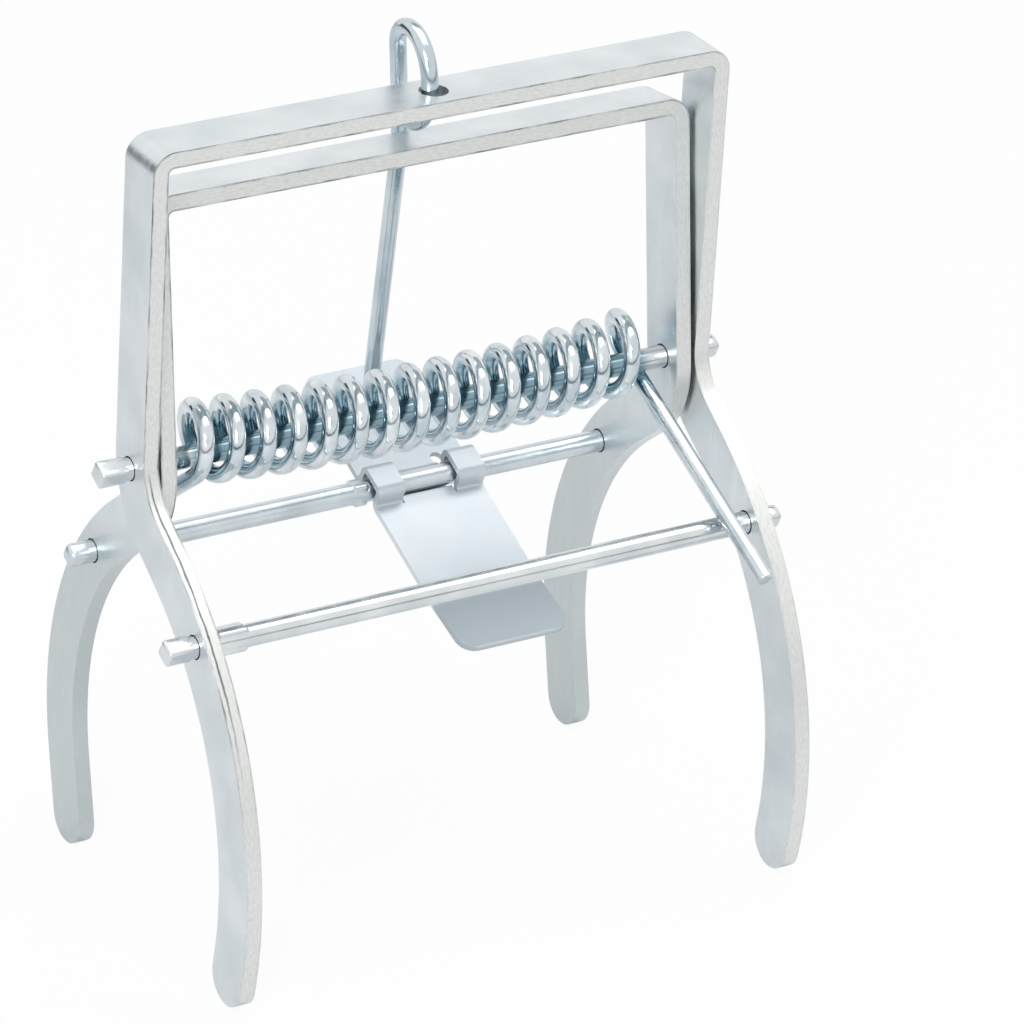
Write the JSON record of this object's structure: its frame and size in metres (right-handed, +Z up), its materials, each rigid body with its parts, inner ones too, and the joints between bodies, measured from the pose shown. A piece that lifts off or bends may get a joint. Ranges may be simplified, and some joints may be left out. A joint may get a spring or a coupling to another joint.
{
  "type": "mole trap",
  "caption": "Zinc-plated scissor mole trap, set: two sprung strap frames with claws, a trigger plate across the run and a latch rod.",
  "frame": {"origin": "on the floor that the claw tips stand on, midway between the frames' legs and straight below the axle, within 1 mm of the middle of the footprint", "axes": "+X along the rods, +Y to the back, where the rear claws and the plate's flag are, +Z up through the handle bars"},
  "size_m": [0.1241, 0.0885, 0.1549],
  "materials": {
    "strap_zinc": "satin bright zinc plate on mild steel strap",
    "rod_zinc": "bright zinc plate on drawn steel rod",
    "wire_zinc": "glossy bright zinc plate on spring wire",
    "sheet_zinc": "satin bright zinc plate on thin steel sheet"
  },
  "bodies": {
    "outer": {"outer_frame": "strap_zinc", "axle": "rod_zinc", "front_rod": "rod_zinc", "torsion_spring": "wire_zinc"},
    "inner": {"inner_frame": "strap_zinc"},
    "pivot_rod": {"rear_rod": "rod_zinc"},
    "plate": {"trigger_plate": "sheet_zinc"},
    "latch": {"latch_rod": "wire_zinc"}
  },
  "joints": [
    {"name": "jaw", "type": "hinge", "parent": "outer", "child": "inner", "pos_m": [0, 0, 0.085], "axis": [-1, 0, 0], "range_deg": [0, 62], "deforming": ["torsion_spring"]},
    {"name": "latch_swing", "type": "hinge", "parent": "outer", "child": "latch", "pos_m": [-0.00065, 0.0075, 0.1443], "axis": [1, 0, 0], "range_deg": [0, 80.6]},
    {"name": "rear_rod_turn", "type": "hinge", "parent": "inner", "child": "pivot_rod", "pos_m": [0, 0.0193, 0.0606], "axis": [1, 0, 0], "range_deg": [0, 62]},
    {"name": "plate_trip", "type": "hinge", "parent": "pivot_rod", "child": "plate", "pos_m": [0.013, 0.0193, 0.0606], "axis": [-1, 0, 0], "range_deg": [0, 20]}
  ],
  "couplings": [
    {"joint": "latch_swing", "follows": "jaw", "ratio": 1.3},
    {"joint": "rear_rod_turn", "follows": "jaw", "ratio": 1}
  ]
}
